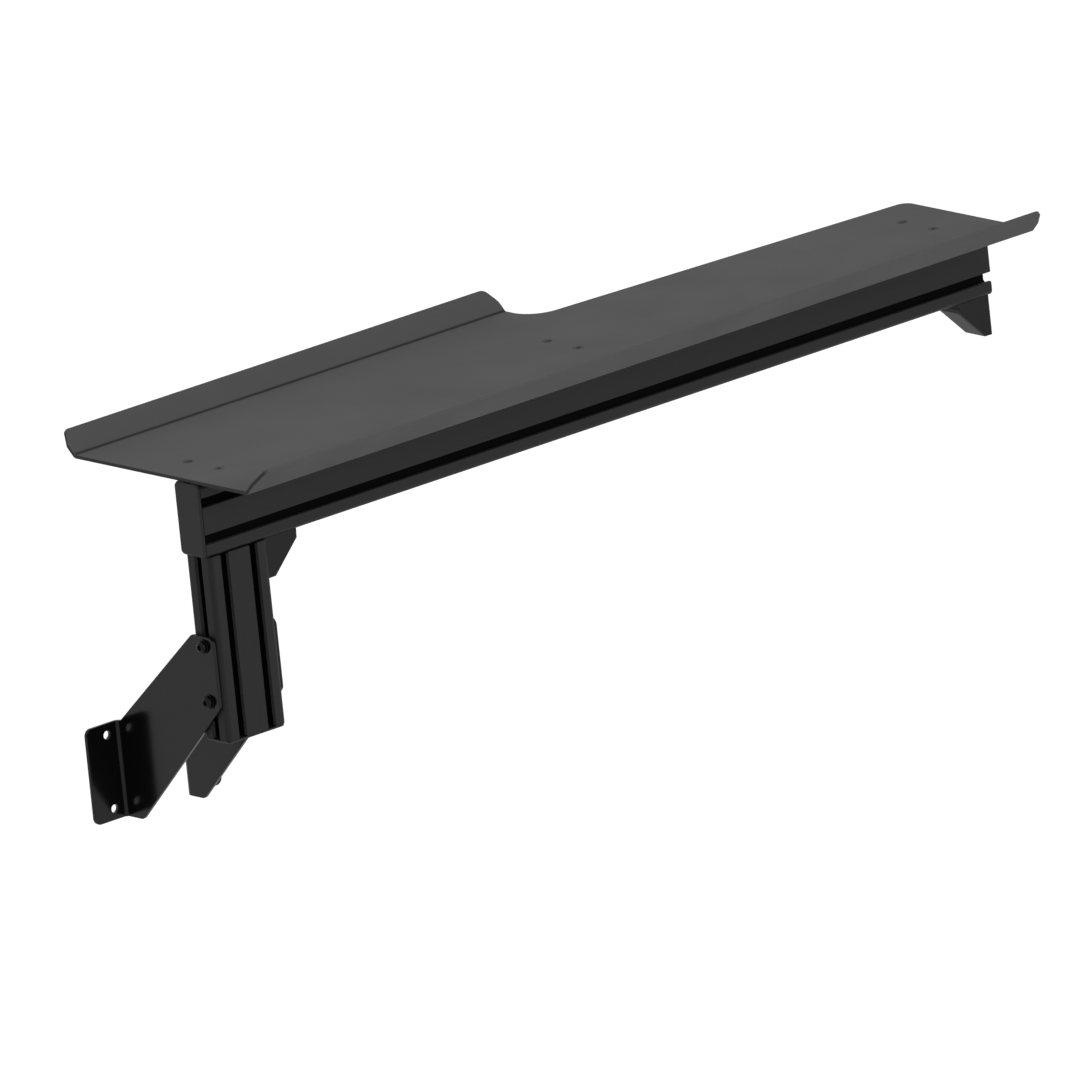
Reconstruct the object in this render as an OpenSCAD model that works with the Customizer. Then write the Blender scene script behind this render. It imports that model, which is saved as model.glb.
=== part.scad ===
// Side table for a sim rig: a bent sheet tray on a slotted profile beam, carried at one end
// by a short profile post that is clamped between two cranked rig brackets.
// Origin: centre of the four rig bolts, on the rear face of the bracket flanges.
// +X runs along the beam to its far end, +Y points into the rig, +Z is up.

/* [Profile] */
// Grid of the slotted aluminium profile, which is one grid deep and two grids wide
grid = 40; // [38:0.5:45]
// Radius of the profile's four outer corners
profile_corner_r = 6; // [3.5:0.5:6]
// Width of a slot at its mouth
slot_w = 10.2; // [8:0.1:10.4]
// Thickness of the lips beside a slot
slot_lip_t = 4.5; // [3.5:0.1:5]
// Depth of a slot from the outer face
slot_depth = 12.5; // [11.8:0.1:13]
// Width of a slot behind its lips
slot_inner_w = 20.2; // [18.5:0.1:21]
// Height of the straight side walls behind the lips
slot_side_h = 3; // [2:0.1:3.5]
// Width of a slot's floor
slot_floor_w = 10.2; // [8:0.1:12]
// Chamfer along the slot mouths
slot_chamfer = 0.6; // [0.2:0.1:1]
// Diameter of the round core bores
core_bore_d = 6.8; // [5:0.1:8]
// Thickness of the webs round the middle chamber
web_t = 2.4; // [1.8:0.1:3]
// Side of the small square hollow in each corner
corner_hollow = 4.4; // [3:0.1:5]

/* [Beam and post] */
// Length of the beam's aluminium
beam_l = 1100; // [900:10:1300]
// Length of the post's aluminium
post_l = 200; // [195:1:260]
// Distance from the beam's left end to the post's left side
post_inset = 3; // [0:0.5:20]
// Thickness of the plastic end caps
cap_t = 2.5; // [2:0.25:5]
// Radius on the outer edge of the end caps
cap_edge_r = 2; // [0.5:0.25:2]
// Distance by which the caps are smaller than the profile all round
cap_inset = 0.8; // [0:0.1:1.2]
// Length of the pegs on the end caps
cap_peg_l = 14; // [8:1:25]
// Radial clearance of the pegs in the core bores
cap_peg_gap = 0.1; // [0.05:0.05:0.2]

/* [Tray] */
// Thickness of the tray's sheet
sheet_t = 4; // [3.8:0.1:5]
// Inside radius of the sheet's bends
sheet_bend_r = 3; // [2:0.5:5]
// Angle by which the lips are bent up
lip_angle = 45; // [35:1:60]
// Length of the front lip, from its outer bend line to its edge
front_lip_l = 37; // [30:1:50]
// Length of the rear lip, from its outer bend line to its edge
rear_lip_l = 33.5; // [30:0.5:50]
// Distance from a lip's outer bend line to where its ends begin to slant
lip_slant_from = 15; // [8:1:20]
// Distance by which the ends of both lips slant inwards
lip_end_slant = 8.5; // [4:0.5:12]
// Radius of the outer corners of both lips
lip_corner_r = 3; // [1:0.5:6]
// Reach of the tray in front of the beam, to the outer bend line
front_reach = 75; // [50:1:110]
// Reach of the wide part behind the beam, to the outer bend line
rear_reach = 160; // [140:1:200]
// Length of the wide part, which carries the rear lip
wide_l = 600; // [450:10:750]
// Reach of the narrow part behind the beam, at the step
narrow_reach_step = 115; // [90:1:125]
// Reach of the narrow part behind the beam, at the far end
narrow_reach_end = 86; // [70:1:100]
// Radius in the step between the wide and the narrow part
step_fillet_r = 32; // [15:1:35]
// Radius of the narrow part's rear corner
end_corner_r = 20; // [10:1:30]
// Distance from the tray's left end to the first screw
screw_first = 44.5; // [42:0.5:80]
// Distance from the last screw to the tray's right end
screw_last = 55.5; // [42:0.5:90]
// Number of holes in each row
screw_count = 3; // [2:1:3]
// Distance between the row over the beam and the spare row behind it
spare_row_pitch = 50; // [40:1:65]

/* [Rig brackets] */
// Thickness of the bracket plate
plate_t = 4; // [3:0.5:5]
// Inside radius of the bracket's bend
plate_bend_r = 4; // [2:0.5:5]
// Radius of the bracket's corners
plate_corner_r = 8; // [4:1:10]
// Distance from the post's front face back to the plate's front edge
plate_setback = 4.5; // [0:0.5:8]
// Distance from the post's rear face to the rig's face
crank_depth = 138; // [120:1:170]
// Height of the flange
flange_h = 104.5; // [100:0.5:120]
// Width of the flange, from the plate's outer face to its free edge
flange_w = 43.5; // [40:0.5:60]
// Distance between the two rig bolts of a flange
rig_bolt_pitch = 80; // [70:1:84]
// Distance from the plate's outer face to the rig bolts
rig_bolt_offset = 15.7; // [15:0.1:25]
// Diameter of the rig bolt holes
rig_hole_d = 9; // [8.5:0.1:10]
// Height of the plate's top edge above the middle of the flange
plate_rise = 165.6; // [160:0.2:190]
// Length of the plate's top edge
plate_top_l = 34.2; // [32:0.2:40]
// Height of the plate's front edge
plate_front_h = 76.6; // [76:0.2:85]
// Length of the plate's bottom edge, from the rig's face
plate_foot_l = 29.5; // [25:0.5:45]
// Distance from the plate's top edge to the upper clamp bolt
clamp_bolt_drop = 10.6; // [10:0.2:14]
// Distance between the two clamp bolts
clamp_bolt_pitch = 60; // [50:1:62]
// Distance from the lower clamp bolt to the bottom of the post
post_foot_l = 45; // [25:1:60]

/* [Corner brackets] */
// Length of each leg
corner_l = 43.5; // [42:0.5:46]
// Width across the bracket
corner_w = 31; // [28:0.5:36]
// Thickness of the legs
corner_leg_t = 5; // [4:0.5:6]
// Thickness of the two side cheeks
corner_cheek_t = 3; // [2:0.25:3.5]
// Height of the bracket at the tips of its legs
corner_tip_h = 10; // [9:0.5:12]
// Distance from the beam's far end to the far bracket
far_inset = 2.5; // [0:0.5:6]
// Distance from the corner to the bolts
corner_bolt_at = 22.5; // [21.5:0.5:24]
// Height of the lugs that sit in the profile's slots
lug_h = 2; // [1:0.25:2.5]
// Length of each lug
lug_l = 7; // [5:0.5:8]
// Thickness of the snap-on cover
cover_t = 2; // [1.5:0.25:2.5]
// Clearance between the cover and the casting
cover_gap = 0.1; // [0.05:0.05:0.2]
// Length of the cover's snap tongues
tongue_l = 5; // [3:0.5:7]
// Width of the cover's snap tongues
tongue_w = 8; // [5:0.5:10]
// Thickness of the cover's snap tongues
tongue_t = 1.2; // [0.8:0.1:1.6]

/* [Fasteners] */
// Diameter of the clamp bolts
bolt_d = 8; // [7:0.5:8]
// Length of the clamp bolts under the head
bolt_l = 16; // [15:0.5:16]
// Diameter of the bolt heads
bolt_head_d = 13; // [12:0.5:13.5]
// Height of the bolt heads
bolt_head_h = 8; // [6:0.5:8]
// Width across the flats of the bolts' hexagon sockets
bolt_hex = 6; // [4:0.5:6]
// Diameter of the washers
washer_d = 16; // [15:0.5:17]
// Thickness of the washers
washer_t = 1.6; // [1:0.1:2]
// Diameter of the clearance holes for the clamp bolts
bolt_hole_d = 9; // [8.4:0.1:10]
// Diameter of the tray's countersunk screws
screw_d = 6; // [5:0.5:6]
// Length of the countersunk screws, with the head
screw_l = 14; // [12:0.5:14]
// Diameter of the countersunk heads
screw_head_d = 12; // [11:0.5:12]
// Width across the flats of the screws' hexagon sockets
screw_hex = 4; // [3:0.5:4]
// Length of the slot nuts
nut_l = 16; // [14:0.5:18]
// Distance from the bottom of a slot to its nut
nut_floor_gap = 1.5; // [1:0.1:2]
// Distance from the profile's face to the top of the nut
nut_recess = 1; // [0.5:0.1:1.5]

/* [Clearances] */
// Gap between the post and what is clamped to it, on each side
slide_gap = 0.3; // [0.2:0.05:0.4]
// Radial clearance of a bolt in its nut
thread_gap = 0.05; // [0.02:0.01:0.1]
// Radial clearance of a bolt in its washer
washer_gap = 0.2; // [0.1:0.05:0.4]
// Clearance of a countersunk head in its seat
seat_gap = 0.1; // [0.05:0.05:0.2]

/* [Hidden] */
$fn = 64;

// How far a cutting shape runs past the face that it cuts
eps = 1;
// Heights of the two clamp bolts
clamp_z = [plate_rise - clamp_bolt_drop - clamp_bolt_pitch, plate_rise - clamp_bolt_drop];
// Front face, slot line and rear face of the beam and the post
beam_front_y = -crank_depth - grid;
beam_mid_y = -crank_depth - grid / 2;
beam_rear_y = -crank_depth;
// Bottom of the post with its cap, and the beam's bottom and top
post_z = clamp_z[0] - post_foot_l;
beam_z = post_z + cap_t + post_l;
beam_top_z = beam_z + 2 * grid;
// The beam's two ends and the post's two sides
beam_x = -grid - post_inset;
beam_end_x = beam_x + beam_l;
post_side_x = grid;
// Outside radius of the sheet's bends, and where the outer faces of the two bends would meet
sheet_outer_r = sheet_bend_r + sheet_t;
front_bend_y = beam_front_y - front_reach;
rear_bend_y = beam_rear_y + rear_reach;
// Radius of the caps' four corners
cap_corner_r = profile_corner_r - cap_inset;
// Depth at which a nut ends inside its slot
nut_depth = slot_depth - nut_floor_gap;
// Distance from the post's side to the outer face of a bracket plate
plate_inner_x = post_side_x + slide_gap;
plate_outer_x = plate_inner_x + plate_t;

charcoal = "#575757";
black_plate = "#303030";
anodised = "#2c2c2c";
black_plastic = "#333333";
black_screw = "#1c1c1c";
plated = "#8d8f92";

// Rounding one corner

// Start, middle and end of an arc of radius r that touches both edges of the corner p of an outline.
// The edges run from p towards a and towards b.
function corner_arc(p, a, b, r) =
    let (u = (a - p) / norm(a - p), v = (b - p) / norm(b - p), half = acos(u * v) / 2)
    [p + u * r / tan(half), p + (u + v) / norm(u + v) * r / sin(half), p + v * r / tan(half)];

// The disc of such an arc, a hair larger, so that it crosses both edges at a clear angle
module corner_disc(p, a, b, r) {
    crossing = 0.005;
    translate(corner_arc(p, a, b, r)[1]) circle(r + crossing);
}

// The sliver between the corner p and such an arc. It reaches a little past both edges, so it is
// cut from a convex corner and added to a hollow one.
module corner_sliver(p, a, b, r) {
    overshoot = 1.2;
    arc = corner_arc(p, a, b, r);
    difference() {
        polygon([for (q = [arc[0], p, arc[2], arc[1]]) arc[1] + (q - arc[1]) * overshoot]);
        corner_disc(p, a, b, r);
    }
}

// A convex outline with the corner i rounded to radii[i]
module rounded_outline(points, radii) {
    n = len(points);
    difference() {
        polygon(points);
        for (i = [0 : n - 1])
            if (radii[i] > 0)
                corner_sliver(points[i], points[(i + n - 1) % n], points[(i + 1) % n], radii[i]);
    }
}

// Slotted profile

// One slot, with its mouth on the X axis and its depth along -Y
module slot_outline() {
    mouth = slot_w / 2;
    inner = slot_inner_w / 2;
    floor_half = slot_floor_w / 2;
    shoulder = slot_lip_t + slot_side_h;
    right = [[mouth + slot_chamfer + eps, eps], [mouth, -slot_chamfer], [mouth, -slot_lip_t],
             [inner, -slot_lip_t], [inner, -shoulder], [floor_half, -slot_depth]];
    left = [for (i = [len(right) - 1 : -1 : 0]) [-right[i][0], right[i][1]]];
    polygon(concat(right, left));
}

// The chamber between the two core bores, with webs of one thickness beside the slots
module chamber_outline() {
    beside_slot = grid / 2 - slot_inner_w / 2 - web_t;
    beside_bore = grid / 2 - core_bore_d / 2 - 1.5 * web_t;
    top = grid / 2 - slot_lip_t;
    flank = beside_slot + top - slot_side_h - web_t * (sqrt(2) - 1);
    quarter = [[beside_slot, top], [beside_slot, flank - beside_slot], [beside_bore, flank - beside_bore]];
    right = concat(quarter, [for (i = [2 : -1 : 0]) [quarter[i][0], -quarter[i][1]]]);
    left = [for (i = [len(right) - 1 : -1 : 0]) [-right[i][0], right[i][1]]];
    polygon(concat(right, left));
}

// Section of the profile, two grids wide along X and one grid deep along Y, with its middle at 0,0
module profile_outline() {
    w = 2 * grid;
    d = grid;
    corner = [[-w / 2, -d / 2], [w / 2, -d / 2], [w / 2, d / 2], [-w / 2, d / 2]];
    hollow_at = (slot_inner_w / 2 + grid / 2) / 2;
    difference() {
        rounded_outline(corner, [for (i = [0 : 3]) profile_corner_r]);
        for (x = [-grid / 2, grid / 2]) {
            translate([x, d / 2]) slot_outline();
            translate([x, -d / 2]) rotate(180) slot_outline();
            translate([x, 0]) circle(d = core_bore_d);
        }
        translate([w / 2, 0]) rotate(-90) slot_outline();
        translate([-w / 2, 0]) rotate(90) slot_outline();
        chamber_outline();
        for (sx = [-1, 1])
            for (sy = [-1, 1])
                translate([sx * (grid / 2 + hollow_at), sy * hollow_at])
                    square(corner_hollow, center = true);
    }
}

// The beam lies along +X with its section two grids tall
module beam() {
    color(anodised)
        translate([beam_x, beam_mid_y, beam_z + grid])
            rotate([90, 0, 90])
                linear_extrude(beam_l)
                    rotate(90) profile_outline();
}

// The post stands under the beam's left end, with its section two grids wide
module post() {
    color(anodised)
        translate([0, beam_mid_y, post_z + cap_t])
            linear_extrude(post_l) profile_outline();
}

// End caps

// A cap for the profile, seated on z = 0, with its rounded outer face at z = cap_t
module end_cap() {
    hull()
        for (sx = [-1, 1])
            for (sy = [-1, 1])
                translate([sx * (grid - cap_inset - cap_corner_r), sy * (grid / 2 - cap_inset - cap_corner_r), 0])
                    cap_corner();
    for (sx = [-1, 1])
        translate([sx * grid / 2, 0, -cap_peg_l])
            cylinder(d = core_bore_d - 2 * cap_peg_gap, h = cap_peg_l + cap_t / 2);
}

// One corner of a cap: a disc whose upper edge is rounded in six steps
module cap_corner() {
    steps = 6;
    side = cap_corner_r - cap_edge_r;
    edge = [for (i = [0 : steps])
            [side + cap_edge_r * cos(90 * i / steps), cap_t - cap_edge_r + cap_edge_r * sin(90 * i / steps)]];
    rotate_extrude($fn = 32)
        polygon(concat([[0, 0], [cap_corner_r, 0]], edge, [[0, cap_t]]));
}

module beam_end_cap() {
    color(black_plastic)
        translate([beam_x, beam_mid_y, beam_z + grid])
            rotate([0, -90, 0]) end_cap();
}

module post_end_cap() {
    color(black_plastic)
        translate([0, beam_mid_y, post_z + cap_t])
            rotate([180, 0, 0]) end_cap();
}

// Tray

// Rear edge of the narrow part at a distance x from the tray's left end
function narrow_edge(x) = beam_rear_y + narrow_reach_step
    - (narrow_reach_step - narrow_reach_end) * (x - wide_l) / (beam_l - wide_l);

// Section across the wide part, with the sheet's lower face on z = 0: a flat with a lip on both sides
module tray_section() {
    up = [cos(lip_angle), sin(lip_angle)];
    inward = [sin(lip_angle), cos(lip_angle)];
    inner_shift = sheet_t * tan(lip_angle / 2);
    front = [front_bend_y, 0];
    rear = [rear_bend_y, 0];
    front_edge = front + front_lip_l * [-up[0], up[1]];
    rear_edge = rear + rear_lip_l * up;
    front_edge_in = front_edge + sheet_t * inward;
    rear_edge_in = rear_edge + sheet_t * [-inward[0], inward[1]];
    front_in = front + [inner_shift, sheet_t];
    rear_in = rear + [-inner_shift, sheet_t];
    difference() {
        polygon(concat([front_edge, front, rear, rear_edge, rear_edge_in],
                       corner_arc(rear_in, rear_edge_in, front_in, sheet_bend_r),
                       corner_arc(front_in, rear_in, front_edge_in, sheet_bend_r),
                       [front_edge_in]));
        corner_disc(rear_in, rear_edge_in, front_in, sheet_bend_r);
        corner_disc(front_in, rear_in, front_edge_in, sheet_bend_r);
        corner_sliver(front, front_edge, rear, sheet_outer_r);
        corner_sliver(rear, rear_edge, front, sheet_outer_r);
    }
}

// What is cut from the wide section beyond the step: a filleted notch with a slanted front edge
module notch_outline() {
    far = rear_bend_y + 2 * rear_lip_l;
    root = [wide_l, narrow_edge(wide_l)];
    end = [beam_l, narrow_edge(beam_l)];
    past_end = [beam_l + grid, narrow_edge(beam_l + grid)];
    difference() {
        polygon([root, [wide_l, far], [beam_l + grid, far], past_end]);
        corner_sliver(root, [wide_l, far], end, step_fillet_r);
    }
    corner_sliver(end, root, [beam_l, front_bend_y], end_corner_r);
}

// What is cut from both ends of a lip of a given length and run. The lip's bend line lies on the
// X axis, with the lip rising towards -Y.
module lip_end_cuts(length, run) {
    rotate([-lip_angle, 0, 0])
        translate([0, 0, -eps])
            linear_extrude(sheet_t + 2 * eps) {
                lip_end_cut(run);
                translate([length, 0]) mirror([1, 0]) lip_end_cut(run);
            }
}

// The cut at the left end: a slant from the end's middle to its tip, and the rounding at the tip
module lip_end_cut(run) {
    overshoot = 0.2;
    root = [0, -lip_slant_from];
    tip = [lip_end_slant, -run];
    past_root = root - overshoot * (tip - root);
    past_tip = tip + overshoot * (tip - root);
    polygon([past_root, past_tip, [past_root[0], past_tip[1]]]);
    corner_sliver(tip, root, tip + [run, 0], lip_corner_r);
}

// Countersunk hole through the sheet, with the head's seat in its upper face
module countersunk_hole() {
    seat_h = (screw_head_d - screw_d) / 2;
    translate([0, 0, sheet_t])
        rotate_extrude()
            polygon([[0, eps], [screw_head_d / 2 + seat_gap + eps, eps], [screw_d / 2 + seat_gap, -seat_h],
                     [screw_d / 2 + seat_gap, -sheet_t - eps], [0, -sheet_t - eps]]);
}

// Places of the holes in a row at the depth y
module along_screws(y) {
    screw_pitch = (beam_l - screw_first - screw_last) / (screw_count - 1);
    for (i = [0 : screw_count - 1])
        translate([beam_x + screw_first + i * screw_pitch, y, beam_top_z]) children();
}

module tray() {
    color(charcoal)
        difference() {
            translate([beam_x, 0, beam_top_z])
                rotate([90, 0, 90]) linear_extrude(beam_l) tray_section();
            translate([beam_x, 0, beam_top_z - eps])
                linear_extrude(rear_lip_l + sheet_t + 2 * eps) notch_outline();
            translate([beam_x, front_bend_y, beam_top_z])
                lip_end_cuts(beam_l, front_lip_l);
            translate([beam_x, rear_bend_y, beam_top_z])
                mirror([0, 1, 0]) lip_end_cuts(wide_l, rear_lip_l);
            along_screws(beam_mid_y) countersunk_hole();
            along_screws(beam_mid_y + spare_row_pitch) countersunk_hole();
        }
}

// Fasteners

// Bolt with a cylinder head and a hexagon socket. Its head sits on z = 0 and its shank points to -Z.
module cap_bolt() {
    chamfer = bolt_d / 10;
    socket_h = bolt_head_h / 2;
    difference() {
        rotate_extrude()
            polygon([[0, -bolt_l], [bolt_d / 2 - chamfer, -bolt_l], [bolt_d / 2, -bolt_l + chamfer],
                     [bolt_d / 2, 0], [bolt_head_d / 2, 0], [bolt_head_d / 2, bolt_head_h - chamfer],
                     [bolt_head_d / 2 - chamfer, bolt_head_h], [0, bolt_head_h]]);
        translate([0, 0, bolt_head_h - socket_h])
            cylinder(d = bolt_hex / cos(30), h = socket_h + eps, $fn = 6);
    }
}

// Washer under a bolt head, with its lower face on z = 0
module washer() {
    difference() {
        cylinder(d = washer_d, h = washer_t);
        translate([0, 0, -eps]) cylinder(d = bolt_d + 2 * washer_gap, h = washer_t + 2 * eps);
    }
}

// Countersunk screw whose head is flush with z = 0 and whose shank points to -Z
module flat_screw() {
    chamfer = screw_d / 10;
    seat_h = (screw_head_d - screw_d) / 2;
    socket_h = seat_h * 0.6;
    difference() {
        rotate_extrude()
            polygon([[0, -screw_l], [screw_d / 2 - chamfer, -screw_l], [screw_d / 2, -screw_l + chamfer],
                     [screw_d / 2, -seat_h], [screw_head_d / 2, 0], [0, 0]]);
        translate([0, 0, -socket_h])
            cylinder(d = screw_hex / cos(30), h = socket_h + eps, $fn = 6);
    }
}

// Slot nut for a thread, with the profile's face on z = 0, its depth along -Z and its length along X
module slot_nut(thread_d) {
    neck = slot_w / 2 - slide_gap;
    body = slot_inner_w / 2 - slide_gap - 0.1;
    shoulder = slot_lip_t + slide_gap;
    low = slot_lip_t + slot_side_h - slide_gap;
    taper = (slot_inner_w - slot_floor_w) / 2 / (slot_depth - slot_lip_t - slot_side_h);
    foot = body - (nut_depth - low) * taper;
    half = [[neck, -nut_recess], [neck, -shoulder], [body, -shoulder], [body, -low], [foot, -nut_depth]];
    other = [for (i = [len(half) - 1 : -1 : 0]) [-half[i][0], half[i][1]]];
    difference() {
        rotate([90, 0, 90])
            linear_extrude(nut_l, center = true) polygon(concat(half, other));
        translate([0, 0, -nut_depth - eps])
            cylinder(d = thread_d + 2 * thread_gap, h = nut_depth + 2 * eps);
    }
}

module tray_screws() {
    color(black_screw)
        along_screws(beam_mid_y) translate([0, 0, sheet_t]) flat_screw();
}

module tray_nuts() {
    color(plated)
        along_screws(beam_mid_y) slot_nut(screw_d);
}

// Rig brackets

// Side view of the cranked plate, as depth and height
module plate_outline() {
    bend_y = -plate_bend_r - plate_t;
    front_y = beam_front_y + plate_setback;
    rounded_outline([[front_y, plate_rise - plate_front_h], [front_y, plate_rise],
                     [front_y + plate_top_l, plate_rise], [bend_y, flange_h / 2],
                     [bend_y, -flange_h / 2], [-plate_foot_l, -flange_h / 2]],
                    [plate_corner_r, plate_corner_r, plate_corner_r, 0, 0, plate_corner_r]);
}

// Plan of the flange with its bend and a strip of the plate, as an angle
module flange_section() {
    strip_y = -2 * (plate_bend_r + plate_t);
    corner = [plate_inner_x, 0];
    corner_in = [plate_outer_x, -plate_t];
    tip_x = plate_outer_x + flange_w;
    difference() {
        polygon(concat([[tip_x, 0], corner, [plate_inner_x, strip_y], [plate_outer_x, strip_y]],
                       corner_arc(corner_in, [plate_outer_x, strip_y], [tip_x, -plate_t], plate_bend_r),
                       [[tip_x, -plate_t]]));
        corner_disc(corner_in, [plate_outer_x, strip_y], [tip_x, -plate_t], plate_bend_r);
        corner_sliver(corner, [plate_inner_x, strip_y], [tip_x, 0], plate_bend_r + plate_t);
    }
}

// What is cut from the flange's two free corners, in the plane of the flange
module flange_corner_cuts() {
    tip_x = plate_outer_x + flange_w;
    for (side = [-1, 1])
        corner_sliver([tip_x, side * flange_h / 2], [plate_outer_x, side * flange_h / 2], [tip_x, 0], plate_corner_r);
}

// The right-hand bracket: a plate beside the post, and a flange that turns away from the post
module rig_bracket() {
    difference() {
        union() {
            translate([plate_inner_x, 0, 0])
                rotate([90, 0, 90]) linear_extrude(plate_t) plate_outline();
            translate([0, 0, -flange_h / 2])
                linear_extrude(flange_h) flange_section();
        }
        translate([0, eps, 0])
            rotate([90, 0, 0]) linear_extrude(plate_t + 2 * eps) flange_corner_cuts();
        for (z = [-rig_bolt_pitch / 2, rig_bolt_pitch / 2])
            translate([plate_outer_x + rig_bolt_offset, eps, z])
                rotate([90, 0, 0]) cylinder(d = rig_hole_d, h = plate_t + 2 * eps);
        for (z = clamp_z)
            translate([plate_inner_x - eps, beam_mid_y, z])
                rotate([0, 90, 0]) cylinder(d = bolt_hole_d, h = plate_t + 2 * eps);
    }
}

// Puts a part whose axis is +Z at both clamp bolts of the right-hand bracket, pointing to +X
module at_clamp_bolts(x) {
    for (z = clamp_z)
        translate([x, beam_mid_y, z]) rotate([0, 90, 0]) children();
}

module clamp_bolts() {
    at_clamp_bolts(plate_outer_x + washer_t) cap_bolt();
}

module clamp_washers() {
    at_clamp_bolts(plate_outer_x) washer();
}

module clamp_nuts() {
    at_clamp_bolts(post_side_x) slot_nut(bolt_d);
}

module right_bracket() {
    color(black_plate) rig_bracket();
}

module right_clamp_bolts() {
    color(black_screw) clamp_bolts();
}

module right_clamp_washers() {
    color(black_screw) clamp_washers();
}

module right_clamp_nuts() {
    color(plated) clamp_nuts();
}

module left_bracket() {
    color(black_plate) mirror([1, 0, 0]) rig_bracket();
}

module left_clamp_bolts() {
    color(black_screw) mirror([1, 0, 0]) clamp_bolts();
}

module left_clamp_washers() {
    color(black_screw) mirror([1, 0, 0]) clamp_washers();
}

module left_clamp_nuts() {
    color(plated) mirror([1, 0, 0]) clamp_nuts();
}

// Corner brackets

// Each is drawn with its corner at the origin, one leg along +X with its seat on z = 0, and the
// other leg along -Z with its seat on x = 0. Its width is centred on y = 0.

// Side outline, as distance along the first leg and depth below it, with a sloped edge
module cheek_outline() {
    inset = cover_t + cover_gap;
    tip = corner_tip_h - inset * (sqrt(2) - 1);
    polygon([[0, 0], [corner_l, 0], [corner_l, -corner_leg_t], [corner_l - inset, -corner_leg_t],
             [corner_l - inset, -tip], [tip, inset - corner_l], [corner_leg_t, inset - corner_l],
             [corner_leg_t, -corner_l], [0, -corner_l]]);
}

// Side outline of the cover, which wraps the sloped edge and both tips
module cover_outline() {
    tip = corner_tip_h - cover_t * (sqrt(2) - 1);
    seat = corner_leg_t + cover_gap;
    polygon([[corner_l, -seat], [corner_l, -corner_tip_h], [corner_tip_h, -corner_l], [seat, -corner_l],
             [seat, cover_t - corner_l], [tip, cover_t - corner_l], [corner_l - cover_t, -tip],
             [corner_l - cover_t, -seat]]);
}

// Turns a side outline into a wall of a given thickness that starts at y
module side_wall(y, t) {
    translate([0, y + t, 0]) rotate([90, 0, 0]) linear_extrude(t) children();
}

// Two lugs on the first leg's seat, one on each side of its bolt
module lugs() {
    lug_w = slot_w - 2 * slide_gap;
    margin = 1.5;
    for (x = [margin, corner_l - margin - lug_l])
        translate([x, -lug_w / 2, -eps]) cube([lug_l, lug_w, lug_h + eps]);
}

// The casting, with lugs on its first leg and, if asked for, on its second
module corner_casting(second_lugs) {
    difference() {
        union() {
            translate([0, -corner_w / 2, -corner_leg_t]) cube([corner_l, corner_w, corner_leg_t]);
            translate([0, -corner_w / 2, -corner_l]) cube([corner_leg_t, corner_w, corner_l]);
            side_wall(-corner_w / 2, corner_cheek_t) cheek_outline();
            side_wall(corner_w / 2 - corner_cheek_t, corner_cheek_t) cheek_outline();
            lugs();
            if (second_lugs)
                rotate([0, 90, 0]) mirror([0, 0, 1]) lugs();
        }
        translate([corner_bolt_at, 0, -corner_leg_t - eps])
            cylinder(d = bolt_hole_d, h = corner_leg_t + 2 * eps);
        translate([-eps, 0, -corner_bolt_at])
            rotate([0, 90, 0]) cylinder(d = bolt_hole_d, h = corner_leg_t + 2 * eps);
    }
}

// The snap-on cover, with a tongue inside each cheek
module corner_cover() {
    middle = (corner_l + corner_tip_h) / 2;
    tongue_y = corner_w / 2 - corner_cheek_t - cover_gap - tongue_t;
    side_wall(-corner_w / 2, corner_w) cover_outline();
    for (y = [-tongue_y - tongue_t, tongue_y])
        translate([middle, y, -middle])
            rotate([0, 45, 0])
                translate([-tongue_l - cover_t, 0, -tongue_w / 2])
                    cube([tongue_l + cover_t / 2, tongue_t, tongue_w]);
}

// Puts a part whose axis is +Z at the bolt of the first leg, at a depth below its seat
module at_first_leg(depth) {
    translate([corner_bolt_at, 0, -depth]) rotate([180, 0, 0]) children();
}

// Puts a part whose axis is +Z at the bolt of the second leg, at a depth behind its seat
module at_second_leg(depth) {
    translate([depth, 0, -corner_bolt_at]) rotate([0, 90, 0]) children();
}

// The near bracket sits between the beam and the post's right side
module at_near_corner() {
    translate([post_side_x, beam_mid_y, beam_z]) children();
}

// The far bracket sits under the beam's far end, with its second leg facing along the beam
module at_far_corner() {
    translate([beam_end_x - far_inset, beam_mid_y, beam_z]) mirror([1, 0, 0]) children();
}

module near_corner_bracket() {
    color(black_plastic) at_near_corner() corner_casting(true);
}

module near_corner_bolts() {
    color(black_screw)
        at_near_corner() {
            at_first_leg(corner_leg_t + washer_t) cap_bolt();
            at_second_leg(corner_leg_t + washer_t) cap_bolt();
        }
}

module near_corner_washers() {
    color(black_screw)
        at_near_corner() {
            at_first_leg(corner_leg_t) washer();
            at_second_leg(corner_leg_t) washer();
        }
}

module near_corner_nuts() {
    color(plated)
        at_near_corner() {
            at_first_leg(0) slot_nut(bolt_d);
            at_second_leg(0) slot_nut(bolt_d);
        }
}

module near_corner_cover() {
    color(black_plastic) at_near_corner() corner_cover();
}

module far_corner_bracket() {
    color(black_plastic) at_far_corner() corner_casting(false);
}

module far_corner_bolt() {
    color(black_screw) at_far_corner() at_first_leg(corner_leg_t + washer_t) cap_bolt();
}

module far_corner_washer() {
    color(black_screw) at_far_corner() at_first_leg(corner_leg_t) washer();
}

module far_corner_nut() {
    color(plated) at_far_corner() at_first_leg(0) slot_nut(bolt_d);
}

module far_corner_cover() {
    color(black_plastic) at_far_corner() corner_cover();
}

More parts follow.
